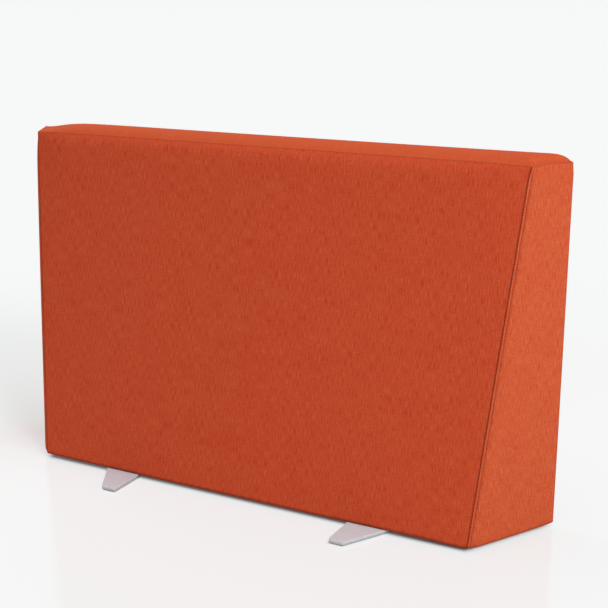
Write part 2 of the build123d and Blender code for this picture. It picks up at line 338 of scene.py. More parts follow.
# Slope at the seam, and the height that the side reaches beside it and in its middle
front_swells = {"top": (0.70, 0.011), "left_end": (0.08, 0.002), "right_end": (0.08, 0.002),
                "middle": (0.20, 0.003)}
right_end_swells = {"front": (0.70, 0.006), "back": (0.50, 0.004), "top": (0.35, 0.006),
                    "middle": (0.50, 0.007)}
left_end_swells = {"front": (0.90, 0.010), "back": (0.50, 0.005), "top": (0.35, 0.008),
                   "middle": (0.50, 0.0105)}
top_swells = {"front": (1.1, 0.0208), "back": (1.3, 0.0208), "right_end": (2.5, 0.0187),
              "middle": (1.1, 0.0208)}
swells = {"front": front_swells, "back": front_swells, "right_end": right_end_swells,
          "left_end": left_end_swells, "top": top_swells}
edge_reach = 0.005
middle_reach = 0.12
# The foam of the crown thins out towards the left end
thin_foam_reach = 0.075
thin_foam_power = 2.8
# At its right end the crown is stuffed full, up to the corners. There its rise follows the distance from the
# seams and not the simulation, and a lower power rounds its creases more.
stuffed_reach = 0.035
crease_power = 4.0
least_distance = 1e-6


def smooth_step(share):
    share = np.clip(share, 0, 1)
    return share * share * (3 - 2 * share)


def hold(name, other):
    """Width of the flat strip beside a seam: out to a topstitching, and hardly any at the crown's ends."""
    if stitched(name, other):
        return stitch_margin
    if name == "top" and is_end(other):
        return border(name, other)[0][0] + crown_hold
    return seam_hold


def slope_and_height(panel):
    """At each point, the mean of what the seams and the middle ask for, weighted by how near they are."""
    total, slope, height = 0.0, 0.0, 0.0
    for other, (edge_slope, edge_height) in swells[panel.name].items():
        distance = middle_reach if other == "middle" else panel.distance[other] + edge_reach
        weight = 1 / distance ** 2
        total, slope, height = total + weight, slope + weight * edge_slope, height + weight * edge_height
    slope, height = slope / total, height / total
    if panel.name == "top":
        from_left = (panel.distance["left_end"] + edge_reach) / thin_foam_reach
        height = height * np.tanh(from_left) ** thin_foam_power
    return slope, height


# %% Simulate the swell of a panel
held_below = 0.0001
# The slope at the seams is read between these two distances, and this percentile of it counts
slope_from = 0.004
slope_to = 0.02
slope_percentile = 80


def pushed_out(panel, held):
    """How far each point of the panel's face moves outwards under pressure, while the held points stay."""
    sheet, order = cloth_grid("swell_trial", panel.points[panel.first_face:])
    group = sheet.vertex_groups.new(name="sewn")
    group.add([int(order[k]) for k in np.flatnonzero(held.ravel())], 1.0, "REPLACE")
    cloth = sheet.modifiers.new("cloth", "CLOTH")
    cloth.settings.quality = 5
    cloth.settings.mass = 0.3
    cloth.settings.vertex_group_mass = "sewn"
    cloth.settings.use_pressure = True
    cloth.settings.uniform_pressure_force = 4
    cloth.settings.effector_weights.gravity = 0
    for number in range(1, frames + 1):
        bpy.context.scene.frame_set(number)
    bpy.ops.object.modifier_apply(modifier="cloth")
    moved = np.array([vertex.co for vertex in sheet.data.vertices])[order].reshape(-1, held.shape[1], 3)
    bpy.data.objects.remove(sheet)
    bpy.context.scene.frame_set(1)
    return (moved - panel.points[panel.first_face:]) @ np.array(panel.normal)


def swell_of(panel):
    """Swell of the panel: the simulated rise, scaled to the slope at the seams and capped."""
    face = panel.first_face
    inside = np.array([distance - hold(panel.name, other) for other, distance in panel.distance.items()])
    free = inside.min(axis=0).clip(0)
    raw = np.clip(pushed_out(panel, free[face:] < held_below), 0, None)
    near = (free[face:] > slope_from) & (free[face:] < slope_to)
    steep = np.percentile(raw[near] / free[face:][near], slope_percentile)
    print(panel.name, "raw swell", round(1000 * raw.max(), 1), "mm, slope at the seams", round(steep, 3))
    free[face:] = raw / steep
    if panel.name == "top":
        stuffed = np.exp(-(panel.distance["right_end"] / stuffed_reach) ** 2)
        rounded = np.sum(inside.clip(least_distance) ** -crease_power, axis=0) ** (-1 / crease_power)
        free = stuffed * rounded + (1 - stuffed) * free
    slope, height = slope_and_height(panel)
    return height * np.tanh(slope * free / height)


# %% Raise the panels, draw in the topstitching and bow the back seams
lip_height = 0.0005
lip_runout = 0.006
stitch_dip = 0.0014
stitch_dip_width = 0.0012
swell_under_edge = 0.015
bow = 0.0040
bow_width = 0.022
bow_runout = 0.030
seam_lifts = {"front": 0.0019, "back": 0.0019, "right_end": 0.0050, "left_end": 0.0}
seam_lift_width = 0.012
corner_reach = 0.09
# How far the full right end of the crown pulls its front and its back corner outwards, and how wide
corner_pulls = ((corners["top"][1], (0.0030, 0, 0), 0.014), (corners["top"][2], (0.0020, 0.0012, 0), 0.020))
# How far the bottom edge hangs down at places along the divider, where no foot plate holds it up
edge_places = (-0.40, -0.25, 0.25, 0.43, 0.56, 0.68)
edge_sags = (0.0, 0.001, 0.001, 0.002, 0.002, 0.0015)
edge_sag_height = 0.050
plate_runout = 0.04
plate_low, plate_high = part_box("right_foot_plate")
plate_middle = (plate_low.x + plate_high.x) / 2


def lip(panel):
    """The folded seam allowance fills a low lip beside the seam, and the topstitching draws the cloth in."""
    if not is_end(panel.name):
        return 0.0
    share = np.clip(panel.distance["front"] / stitch_margin, 0, 1)
    dip = np.exp(-((panel.distance["front"] - stitch_margin) / stitch_dip_width) ** 2)
    raised = lip_height * np.sin(math.pi * share) - stitch_dip * dip
    raised[:len(hem_steps)] = 0
    return raised * smooth_step(panel.distance["top"] / lip_runout)


def under_edge_share(panel):
    """For each row, 1 on the panel's face and falling to 0 along the hem under the box."""
    share = np.ones(panel.level.shape)
    for j in range(panel.first_face):
        share[j] = np.clip(1 - (panel.rows[j][1] - bottom_radius) / swell_under_edge, 0, 1)
    return share


def bowed(panel):
    """The foam's edge pushes the sharp back seams out, from under the top corner down to the hem."""
    moved = np.zeros(panel.points.shape)
    for other in panel.distance:
        if "back" in (panel.name, other) and (is_end(panel.name) or is_end(other)):
            amount = bow * np.exp(-(panel.distance[other] / bow_width) ** 2)
            amount = amount * smooth_step(panel.distance["top"] / bow_runout) * under_edge_share(panel)
            moved += amount[..., None] * np.array((normals[panel.name] + normals[other]).normalized())
    return moved


def lifted(panel):
    """The cloth of the crown pulls the top seams up between the corners, less where the foam is thin."""
    amount = 0.0
    for seam, lift in seam_lifts.items():
        if panel.name not in ("top", seam):
            continue
        near = panel.distance[seam if panel.name == "top" else "top"]
        others = [distance for other, distance in panel.distance.items() if other not in ("top", seam)]
        beside_corner = smooth_step(np.min(others, axis=0) / corner_reach)
        amount = amount + lift * beside_corner * np.exp(-(near / seam_lift_width) ** 2)
    if "left_end" in panel.distance:
        amount = amount * np.tanh(panel.distance["left_end"] / thin_foam_reach)
    return amount[..., None] * np.array((0, 0, 1))


def pulled(panel):
    """The crown is fullest at its right end, and pulls the corners there outwards."""
    moved = 0.0
    for place, pull, width in corner_pulls:
        away = np.linalg.norm(panel.points - np.array(place), axis=2)
        moved = moved + np.exp(-(away / width) ** 2)[..., None] * np.array(pull)
    return moved


def beside_plate(x):
    """0 over the foot plates, rising to 1 a little way beside them."""
    return smooth_step((abs(abs(x) - plate_middle) - (plate_high.x - plate_low.x) / 2) / plate_runout)


def hanging(panel):
    """Between the feet and at the ends the bottom edge hangs a little lower."""
    x = panel.points[..., 0]
    depth = np.interp(x, edge_places, edge_sags) * beside_plate(x)
    depth = depth * np.exp(-(panel.level / edge_sag_height) ** 2) * under_edge_share(panel)
    return depth[..., None] * np.array((0, 0, -1)) * panel.hem


for name, panel in panels.items():
    face = panel.first_face
    swell = swell_of(panel)
    swell[:face] = swell[face]
    swell *= under_edge_share(panel)
    outward = panel.outward.copy()
    outward[:face] = Vector((*panel.normal.xy, 0)).normalized()
    moved = outward * (swell + lip(panel))[..., None] + bowed(panel) + lifted(panel) + pulled(panel)
    panel.points = panel.points + moved + hanging(panel)
    print(name, "swells by", round(1000 * swell.max(), 1), "mm")

# %% [markdown]
# ## The sewn panels
# The raised grid becomes a sheet with the thickness of the cloth, as a closed shell that lies on the foam.

# %% Make the cloth panels
cloth = 0.0012


def apply_modifier(piece, kind, **settings):
    modifier = piece.modifiers.new(kind.lower(), kind)
    for key, value in settings.items():
        setattr(modifier, key, value)
    bpy.context.view_layer.objects.active = piece
    bpy.ops.object.modifier_apply(modifier=modifier.name)


def smooth(piece, angle=40):
    bpy.ops.object.select_all(action="DESELECT")
    piece.select_set(True)
    bpy.context.view_layer.objects.active = piece
    bpy.ops.object.shade_smooth_by_angle(angle=math.radians(angle))


# Painted shade down in the seams and beside the topstitching: where it starts, how wide it is and how dark
seam_shade_start = 0.0010
seam_shade_width = 0.0016
seam_shades = {"front": 1.0, "back": 0.3, "top": 0.28}
long_seam_shade = 0.2
stitch_shade = 0.30
stitch_shade_width = 0.0014
# Depth of the painted shade on the turned bottom edge, and how high it reaches
edge_shades = {"front": (0.95, edge_row), "end": (0.8, 0.006)}


def note(cover, order, name, values):
    """Keeps a number for each point of a cover, which its finish reads."""
    by_vertex = np.zeros(len(cover.data.vertices))
    by_vertex[order] = values.ravel()
    cover.data.attributes.new(name, "FLOAT", "POINT").data.foreach_set("value", by_vertex)


def shade_seams(cover, panel, order):
    """Notes the painted shade of a panel: down in its seams, at the topstitching and on the turned bottom
    edge.
    """
    shade = np.zeros(panel.points.shape[:2])
    for other, distance in panel.distance.items():
        at_end = is_end(panel.name) or is_end(other)
        depth = seam_shades[other if is_end(panel.name) else panel.name] if at_end else long_seam_shade
        shade = np.maximum(shade, depth * np.clip(1 - (distance - seam_shade_start) / seam_shade_width, 0, 1))
    if is_end(panel.name):
        beside = (panel.distance["front"] - stitch_margin) / stitch_shade_width
        shade = np.maximum(shade, stitch_shade * np.exp(-beside ** 2))
    note(cover, order, "seam", shade)
    edge_shade, height = edge_shades["end" if is_end(panel.name) else "front"]
    above_edge = np.clip(panel.level / height, 0, 1)
    above_edge[:panel.first_face - roll_steps // 2] = 0
    note(cover, order, "edge", edge_shade * panel.hem * (1 - above_edge) * np.ones(shade.shape))


covers = {}
for name, panel in panels.items():
    label = f"{name}_cover"
    cover, order = cloth_grid(f"{label}_cloth", panel.points, panel.uv)
    shade_seams(cover, panel, order)
    apply_modifier(cover, "SOLIDIFY", thickness=cloth, offset=-1)
    smooth(cover)
    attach(cover, "root")
    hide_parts(label)
    covers[name] = cover
    print(label, len(cover.data.polygons), "faces")

# %% [markdown]
# ## Foam
# Each panel lies on a foam pad, which is glued to the box. A pad's outer face has the swell of its panel, a
# little under the cloth. Its inner face is flat against the board, and its sides are mitred at the corners,
# so that two pads meet there.

# %% Make the foam pads
foam_depths = {"front": 0.020, "back": 0.012, "right_end": 0.012, "left_end": 0.012, "top": 0.016}
under_cloth = 0.0020


def foam_points(panel):
    """Outer points of a pad, just under the cloth, and inner points against its board."""
    normal = np.array(panel.normal)
    outer = panel.points[panel.first_face:] - normal * under_cloth
    height = (outer - np.array(panel.origin)) @ normal
    return outer, outer - (height[..., None] + foam_depths[panel.name]) * normal


def mitred(name, other):
    """How far the inner face of a pad stays back from a seam, so that it meets the next pad there."""
    return foam_depths[name] / math.tan(interior_angle(name, other) / 2)


pads = {}
for name, panel in panels.items():
    outer, inner = foam_points(panel)
    trim = arc_steps - 1
    rows = slice(0 if panel.hem else trim, outer.shape[0] - trim)
    outer = outer[rows, trim:-trim]
    inner = inner[rows, trim:-trim]
    below, right, above, left = neighbours[name]
    share = np.linspace(0, 1, outer.shape[1])[None, :, None]
    inner = inner + np.array(panel.along) * ((1 - share) * mitred(name, left) - share * mitred(name, right))
    lift = np.linspace(0, 1, outer.shape[0])[:, None, None]
    inner = inner - np.array(panel.up) * lift * mitred(name, above)
    if not panel.hem:
        inner = inner + np.array(panel.up) * (1 - lift) * mitred(name, below)
    pad, _ = cloth_grid(f"{name}_foam_pad", np.concatenate([outer, inner[::-1]]))
    bpy.ops.object.mode_set(mode="EDIT")
    bpy.ops.mesh.select_mode(type="EDGE")
    bpy.ops.mesh.select_all(action="DESELECT")
    bpy.ops.mesh.select_non_manifold()
    bpy.ops.mesh.edge_face_add()
    bpy.ops.mesh.select_all(action="SELECT")
    bpy.ops.mesh.normals_make_consistent(inside=False)
    bpy.ops.object.mode_set(mode="OBJECT")
    smooth(pad, 30)
    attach(pad, "root")
    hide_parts(f"{name}_foam")
    pads[name] = pad
    print(pad.name, len(pad.data.polygons), "faces")

seam_allowance = 0.010
for name, panel in panels.items():
    mean_width = panel.width + (panel.right_slope - panel.left_slope) * panel.height / 2
    wide = max(panel.width, panel.width + (panel.right_slope - panel.left_slope) * panel.height)
    length = panel.height + (hem_width if panel.hem else 0)
    flat = (round(wide + 2 * seam_allowance, 4), round(length + 2 * seam_allowance, 4))
    area = round((mean_width + 2 * seam_allowance) * flat[1], 5)
    print(covers[name].name, "is cut from", flat, "m, area", area, "square metres")

# %% [markdown]
# ## Bottoming cloth
# A thin black cloth closes the underside, inside the turned-under hems. It is tacked along its edges, and
# sags a little where no foot plate lies under it. The foot bolts go through holes in it.

# %% Make the bottoming cloth
sheet_low, sheet_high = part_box("underside_cloth")
thin_cloth = 0.0006
cloth_lift = 0.0003
sag = 0.0022
sag_runout = 0.05
bolt_reach = 0.017
bolt_hole_radius = 0.0045
punch_length = 0.01


def half_width(y):
    """Half of the cloth's width at a depth, between sides that follow the mitred ends."""
    return sheet_high.x - (sheet_high.y - y) * math.tan(mitre)


def sagging(x, y):
    """How far the cloth hangs down: nothing at its edges and over the foot plates."""
    along = smooth_step((half_width(y) - abs(x)) / sag_runout)
    across = math.sin(math.pi * (y - sheet_low.y) / (sheet_high.y - sheet_low.y))
    return sag * beside_plate(x) * along * across


def bottoming_points(rows=14, count=120):
    points = np.zeros((rows, count, 3))
    for j, y in enumerate(np.linspace(sheet_low.y, sheet_high.y, rows)):
        for i, x in enumerate(np.linspace(-half_width(y), half_width(y), count)):
            points[j, i] = (x, y, sheet_low.z + cloth_lift - sagging(x, y))
    return points


def bolt_places():
    """Middles of the foot bolts in plan. Points within a bolt's reach of each other are the same bolt's."""
    points = np.array([vertex.co.xy for vertex in nodes["foot_bolts"].data.vertices])
    middles = []
    while len(points):
        same = np.linalg.norm(points - points[0], axis=1) < bolt_reach
        middles.append((points[same].min(axis=0) + points[same].max(axis=0)) / 2)
        points = points[~same]
    return middles


bottoming, _ = cloth_grid("bottoming_cloth", bottoming_points())
apply_modifier(bottoming, "SOLIDIFY", thickness=thin_cloth, offset=1)
bpy.ops.object.select_all(action="DESELECT")
punches = []
for x, y in bolt_places():
    bpy.ops.mesh.primitive_cylinder_add(vertices=16, radius=bolt_hole_radius, depth=punch_length,
                                        location=(x, y, sheet_low.z))
    punches.append(bpy.context.object)
for punch in punches:
    punch.select_set(True)
bpy.ops.object.join()
punch = bpy.context.object
apply_modifier(bottoming, "BOOLEAN", operation="DIFFERENCE", object=punch)
bpy.data.objects.remove(punch)
smooth(bottoming)
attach(bottoming, "root")
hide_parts("underside_cloth")
fold = 0.010
mean_width = half_width(sheet_low.y) + half_width(sheet_high.y)
length = sheet_high.y - sheet_low.y
round(length + 2 * fold, 4)
round((mean_width + 2 * fold) * (length + 2 * fold), 5)
print("bottoming cloth with", len(bolt_places()), "bolt holes,", len(bottoming.data.polygons), "faces")

# %% [markdown]
# ## Topstitching
# The end panels are sewn a second time, beside their front seam. Each stitch is a short length of thread that
# lies in the cloth like a grain of rice, with its ends pulled down into the needle holes. One stitch is
# modelled, and copied along the line of the topstitching on the raised panel.

# %% Model one stitch
stitch_pitch = 0.005
stitch_length = 0.0043
thread_radius = 0.00045
stitch_pull = 0.0005
# The start, middle and end of a stitch, as shares of the pitch
stitch_shares = (0.1, 0.5, 0.9)


def make_stitch():
    bpy.ops.object.select_all(action="DESELECT")
    bpy.ops.mesh.primitive_uv_sphere_add(segments=8, ring_count=6, radius=1, rotation=(0, math.pi / 2, 0))
    stitch = bpy.context.object
    bpy.ops.object.transform_apply(location=False, rotation=True, scale=False)
    bpy.ops.object.mode_set(mode="EDIT")
    bpy.ops.transform.resize(value=(stitch_length / 2, thread_radius, thread_radius))
    bpy.ops.object.mode_set(mode="OBJECT")
    for vertex in stitch.data.vertices:
        vertex.co.z -= stitch_pull * (2 * vertex.co.x / stitch_length) ** 2
    smooth(stitch, 60)
    return stitch


stitch = make_stitch()
print("a stitch has", len(stitch.data.polygons), "faces")


# %% Copy it along both end panels
def stitch_line(panel):
    """Places of the raised panel along its topstitching, from the bottom edge up to the top seam."""
    at_left = neighbours[panel.name][3] == "front"
    beside = panel.left if at_left else panel.right
    k = [distance for distance, _ in beside].index(stitch_margin)
    column = k if at_left else panel.points.shape[1] - 1 - k
    return panel.points[panel.first_face:-arc_steps, column]


def stitches_along(name, route, facing):
    """Copies of the stitch at an even pitch along a route, joined into one piece."""
    travelled = np.concatenate([[0], np.cumsum(np.linalg.norm(np.diff(route, axis=0), axis=1))])
    count = int(travelled[-1] / stitch_pitch)
    copies = []
    for number in range(count):
        start, middle, end = (
            Vector([np.interp((number + share) * stitch_pitch, travelled, line) for line in route.T])
            for share in stitch_shares)
        ahead = (end - start).normalized()
        sideways = facing.cross(ahead).normalized()
        copy = stitch.copy()
        copy.data = stitch.data.copy()
        turned = Matrix((ahead, sideways, ahead.cross(sideways))).transposed().to_4x4()
        copy.matrix_world = Matrix.Translation(middle) @ turned
        bpy.context.scene.collection.objects.link(copy)
        copies.append(copy)
    bpy.ops.object.select_all(action="DESELECT")
    for copy in copies:
        copy.select_set(True)
    bpy.context.view_layer.objects.active = copies[0]
    bpy.ops.object.join()
    piece = bpy.context.object
    piece.name = name
    bpy.ops.object.transform_apply(location=True, rotation=True, scale=True)
    return piece, count


threads = {}
for name in ("left", "right"):
    panel = panels[f"{name}_end"]
    thread, count = stitches_along(f"{name}_topstitching_thread", stitch_line(panel), panel.normal)
    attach(thread, "root")
    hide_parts(f"{name}_topstitching")
    threads[name] = thread
    print(thread.name, "has", count, "stitches,", len(thread.data.polygons), "faces")
bpy.data.objects.remove(stitch)

# %% [markdown]
# ## Shader maths in Python
# A finish is a small program over the surface. One class wraps a node's output so that Python's own operators
# add the Math nodes, and one method adds any other node from its settings and sockets.

# %% Wires and finishes
class Wire:
    """One output of a node, with arithmetic."""

    def __init__(self, finish, socket):
        self.finish, self.socket = finish, socket

    def math(self, operation, *others):
        sockets = {0: self, **{k + 1: other for k, other in enumerate(others)}}
        return self.finish.add("Math", {"operation": operation}, sockets)

    def __add__(self, other):
        return self.math("ADD", other)

    def __sub__(self, other):
        return self.math("SUBTRACT", other)

    def __rsub__(self, other):
        return (self * -1.0) + other

    def __mul__(self, other):
        return self.math("MULTIPLY", other)

    __radd__, __rmul__ = __add__, __mul__

    def part(self, letter):
        """One coordinate of a vector."""
        return self.finish.add("SeparateXYZ", {}, {0: self}, letter)

    def scaled(self, *factors):
        """A vector with each coordinate times a factor."""
        return self.finish.add("VectorMath", {"operation": "MULTIPLY"}, {0: self, 1: factors})

    def apart(self, *place):
        """A vector from a place."""
        return self.finish.add("VectorMath", {"operation": "SUBTRACT"}, {0: self, 1: place})

    def along(self, *direction):
        """A vector's share along a direction."""
        return self.finish.add("VectorMath", {"operation": "DOT_PRODUCT"}, {0: self, 1: direction}, "Value")

    def largest(self, *others):
        """The largest of this and the others."""
        found = self
        for other in others:
            found = found.math("MAXIMUM", other)
        return found

    def squared(self):
        """A vector's length times itself."""
        return self.finish.add("VectorMath", {"operation": "DOT_PRODUCT"}, {0: self, 1: self}, "Value")


class Finish:
    """The nodes of a material or of the world."""

    def __init__(self, owner):
        owner.use_nodes = True
        self.owner = owner
        self.tree = owner.node_tree
        self.tree.nodes.clear()

    def add(self, kind, settings, sockets, output=0):
        """Any node: its type, its settings, and the values or wires of its sockets."""
        node = self.tree.nodes.new("ShaderNode" + kind)
        for key, value in settings.items():
            setattr(node, key, value)
        for key, value in sockets.items():
            if isinstance(value, Wire):
                self.tree.links.new(value.socket, node.inputs[key])
            else:
                node.inputs[key].default_value = value
        return Wire(self, node.outputs[output]) if node.outputs else None

    def noise(self, vector, detail=2.0, roughness=0.5):
        return self.add("TexNoise", {}, {"Vector": vector, "Scale": 1.0, "Detail": detail,
                                         "Roughness": roughness})

    def ramp(self, wire, start, stop, low, high, **settings):
        """A number that goes from low to high while the wire goes from start to stop."""
        return self.add("MapRange", settings, {"Value": wire, "From Min": start, "From Max": stop,
                                               "To Min": low, "To Max": high})

    def mix(self, factor, one, other):
        """A colour between two colours."""
        one = one if isinstance(one, Wire) else (*one, 1)
        other = other if isinstance(other, Wire) else (*other, 1)
        return self.add("Mix", {"data_type": "RGBA"}, {0: factor, 6: one, 7: other}, 2)

    def clamped(self, wire):
        return self.add("Clamp", {}, {0: wire})

    def bump(self, height, strength, distance):
        return self.add("Bump", {}, {"Height": height, "Strength": strength, "Distance": distance})

    def place(self):
        return self.add("TexCoord", {}, {}, "Object")

    def surface(self, **sockets):
        """Ends the finish with a Principled surface, and gives the material."""
        names = {key.replace("_", " "): value for key, value in sockets.items()}
        shader = self.add("BsdfPrincipled", {}, names)
        self.add("OutputMaterial", {}, {"Surface": shader})
        return self.owner


def finish_of(name):
    return Finish(bpy.data.materials.new(name))


def grained(name, scales, colours, roughness, strength, distance, detail=2.0):
    """A plain finish with one grain, in its colour and its relief."""
    finish = finish_of(name)
    grain = finish.noise(finish.place().scaled(*scales), detail)
    return finish.surface(Base_Color=finish.mix(grain, *colours), Roughness=roughness,
                          Normal=finish.bump(grain, strength, distance))


def give(piece, material):
    piece.data.materials.clear()
    piece.data.materials.append(material)


# %% [markdown]
# ## Cover cloth
# The cloth is a fine plain weave of mixed yarns. Warp and weft pass over each other about once a millimetre.
# The yarns are spun from fibres of several reds and oranges, so single threads differ, and thicker slubs show
# as short upright streaks.

# %% Finish of the cover cloth
yarn = 0.0011
# How fine the fibres, upright slubs, cross slubs and patches are across and along the cloth
yarn_scales = ((900, 260, 1), (600, 46, 1), (45, 420, 1), (22, 14, 1))
# How much they and the crossings of the yarns count
fibre_share = 0.9
cross_slub_share = 0.25
crossing_share = 0.06
# Painted shade down in the seams, beside the topstitching and on the turned bottom edge; in the seams it is
# painted darker at each seam stitch
painted_shade_colour = (0.14, 0.013, 0.006)
painted_shade_stitch_share = 0.4
painted_shade_stitch_middle = 0.7


def weave_cloth(name, deep, bright, contrast, streaks=1.2, patchiness=0.15):
    finish = finish_of(name)
    uv = finish.add("UVMap", {"uv_map": "cloth"}, {})
    warp = (uv.part("X") * (math.pi / yarn)).math("SINE")
    weft = (uv.part("Y") * (math.pi / yarn)).math("SINE")
    crossing = warp * weft
    fibres, slubs, cross_slubs, patches = (finish.noise(uv.scaled(*scales)) for scales in yarn_scales)
    tone = ((fibres - 0.5) * fibre_share + (slubs - 0.5) * streaks + (cross_slubs - 0.5) * cross_slub_share
            + (patches - 0.5) * patchiness)
    tone = finish.clamped(tone * contrast + crossing * crossing_share + 0.5)
    seam = finish.add("Attribute", {"attribute_name": "seam"}, {}, "Fac")
    edge = finish.add("Attribute", {"attribute_name": "edge"}, {}, "Fac")
    # Painted shade: the seam shade swells and fades at each seam stitch, and the edge shade darkens the
    # turned bottom edge
    pulls = (uv.part("Y") * (2 * math.pi / stitch_pitch)).math("SINE") * painted_shade_stitch_share + painted_shade_stitch_middle
    colour = finish.mix(finish.clamped(seam * pulls + edge), finish.mix(tone, deep, bright), painted_shade_colour)
    height = crossing * 0.5 + fibres * 0.8 + slubs * 0.5
    return finish.surface(Base_Color=colour, Roughness=0.9, Specular_IOR_Level=0.1,
                          Normal=finish.bump(height, 0.2, 0.0005))


# The top and the ends take paler, less red tints of the one cover cloth: painted sheen, for the whiter light
# that their brighter faces reflect
cloths = {
    "front": weave_cloth("cover_cloth", (0.475, 0.0225, 0.0045), (0.685, 0.129, 0.049), 1.15),
    "top": weave_cloth("top_cover_cloth", (0.475, 0.033, 0.006), (0.685, 0.145, 0.0515), 0.8, streaks=0.5),
    "end": weave_cloth("end_cloth_painted_sheen", (0.475, 0.035, 0.008), (0.685, 0.160, 0.062), 1.35, streaks=1.0),
}
for name, cover in covers.items():
    give(cover, cloths["end" if is_end(name) else "top" if name == "top" else "front"])
print(len(cloths), "tints of the cover cloth")

# %% [markdown]
# ## Finishes of the other pieces
# Thread is two plies twisted together. Bottoming cloth is pressed fibre without a weave. The foam has open
# cells. Plywood shows a veneer's grain on its faces and its plies on its edges, so its finish asks how far
# the surface looks along the board's thickness. Pine has year rings along its length. The feet are powder
# coated, with a fine orange peel, and the fasteners have the cloudy bright look of zinc.

# %% Soft finishes
def thread_finish():
    finish = finish_of("thread")
    uv = finish.add("UVMap", {"uv_map": "UVMap"}, {})
    twist = ((uv.part("X") * 2 + uv.part("Y") * 5) * (2 * math.pi)).math("SINE") * 0.5 + 0.5
    return finish.surface(Base_Color=finish.mix(twist, (0.36, 0.042, 0.014), (0.55, 0.078, 0.027)),
                          Roughness=0.7 - twist * 0.1, Specular_IOR_Level=0.3,
                          Normal=finish.bump(twist, 0.4, 0.0001))


def bottoming_finish():
    finish = finish_of("bottoming_cloth")
    fibres = finish.noise(finish.place().scaled(1400, 500, 900), 3)
    clouds = finish.noise(finish.place().scaled(40, 40, 40), 2)
    return finish.surface(Base_Color=finish.mix(fibres * 0.7 + clouds * 0.3, (0.010, 0.010, 0.011),
                                                (0.034, 0.034, 0.036)),
                          Roughness=0.92, Normal=finish.bump(fibres, 0.4, 0.0003))


foam_finish = grained("foam", (900, 900, 900), ((0.72, 0.62, 0.36), (0.86, 0.79, 0.55)), 0.95, 0.6, 0.0008,
                      detail=3.0)


# %% Wood finishes
ply = 0.0015
veneer_from = 0.7
board_directions = {
    "back_board": "Y", "front_board": "Y", "base_board": "Z", "top_rail": "Z", "left_end_board": "X",
    "right_end_board": "X", "left_rib": "X", "centre_rib": "X", "right_rib": "X",
}


def plywood_finish(through):
    """Plywood whose thickness runs mainly along one axis. It shows its veneer where it faces that way."""
    finish = finish_of(f"plywood_{through.lower()}")
    place = finish.place()
    grain_scales = {"X": (60, 220, 9), "Y": (9, 60, 220), "Z": (9, 220, 60)}[through]
    grain = finish.noise(place.scaled(*grain_scales), 4, 0.6)
    pores = finish.noise(place.scaled(*(6 * scale for scale in grain_scales)), 2)
    veneer = finish.mix(finish.clamped(grain * 0.8 + pores * 0.2), (0.50, 0.33, 0.18), (0.72, 0.54, 0.34))
    plies = (place.part(through) * (math.pi / ply)).math("SINE") * 0.5 + 0.5
    layers = finish.mix(plies, (0.30, 0.18, 0.09), (0.66, 0.48, 0.29))
    facing = finish.add("NewGeometry", {}, {}, "Normal").part(through).math("ABSOLUTE")
    on_face = facing.math("GREATER_THAN", veneer_from)
    return finish.surface(Base_Color=finish.mix(on_face, layers, veneer), Roughness=0.62 + grain * 0.12,
                          Normal=finish.bump(grain + plies * 0.3, 0.2, 0.0004))


def softwood_finish():
    """Pine: year rings that lean in the batten's section and waver a little along it."""
    finish = finish_of("softwood")
    place = finish.place()
    bend = finish.noise(place.scaled(3, 3, 3), 2)
    rings = ((place.part("Y") * 900 + place.part("Z") * 500 + place.part("X") * 60 + bend * 14)
             .math("SINE") * 0.5 + 0.5)
    saw = finish.noise(place.scaled(300, 300, 300), 2)
    return finish.surface(Base_Color=finish.mix(rings, (0.74, 0.56, 0.34), (0.55, 0.34, 0.16)),
                          Roughness=0.68 + saw * 0.12, Normal=finish.bump(saw, 0.3, 0.0005))


# %% Finishes of the feet and the fasteners
# Painted shade: the rim of a plate is darker towards the floor
rim_painted_shade = 0.9


def powder_coat():
    finish = finish_of("powder_coat")
    place = finish.place()
    peel = finish.noise(place.scaled(700, 700, 700), 2)
    tint = finish.noise(place.scaled(25, 25, 25), 2)
    # Painted shade, darkest where the plate meets the floor
    low_rim_shade = finish.ramp(place.part("Z"), plate_low.z, plate_high.z, rim_painted_shade, 0.0)
    paint = finish.mix(tint, (0.65, 0.68, 0.72), (0.69, 0.73, 0.78))
    return finish.surface(Base_Color=finish.mix(low_rim_shade, paint, (0.40, 0.41, 0.42)),
                          Roughness=0.42 + peel * 0.12, Normal=finish.bump(peel, 0.15, 0.0003))


def zinc():
    finish = finish_of("zinc")
    place = finish.place()
    clouds = finish.noise(place.scaled(160, 160, 160), 3)
    scratches = finish.noise(place.scaled(2000, 2000, 150), 2)
    return finish.surface(Base_Color=finish.mix(clouds, (0.52, 0.53, 0.55), (0.70, 0.71, 0.73)), Metallic=1.0,
                          Roughness=0.3 + clouds * 0.15, Normal=finish.bump(scratches, 0.12, 0.0002))


rubber = grained("rubber", (1500, 1500, 1500), ((0.014, 0.014, 0.016), (0.035, 0.035, 0.036)), 0.8, 0.3,
                 0.0003)

# %% Give every node and piece its finish
finishes = {
    "upholstery_foam": foam_finish,
    "sewing_thread": thread_finish(),
    "bottoming_cloth": bottoming_finish(),
    "softwood": softwood_finish(),
    "foot_paint": powder_coat(),
    "sole_rubber": rubber,
    "zinc_steel": zinc(),
    "cover_cloth": cloths["front"],
}
plywood = {through: plywood_finish(through) for through in "XYZ"}
for pad in pads.values():
    give(pad, finishes["upholstery_foam"])
for thread in threads.values():
    give(thread, finishes["sewing_thread"])
give(bottoming, finishes["bottoming_cloth"])
for row in frame["record"]["subparts"]:
    node = row["node"]
    give(nodes[node], plywood[board_directions[node]] if node in board_directions
         else finishes[row["material_slot"]])
print(len(finishes) + len(plywood), "finishes")

# %% [markdown]
# ## Floor and light
# Four soft lamps and a pale room light the divider. The floor is matt and takes its shadows. The lamps reach
# the near floor better than the far one, so the floor has a glow that only the camera and mirrors see. It
# adds what each place lacks up to the tone of the backdrop. A faint gloss mirrors the divider.

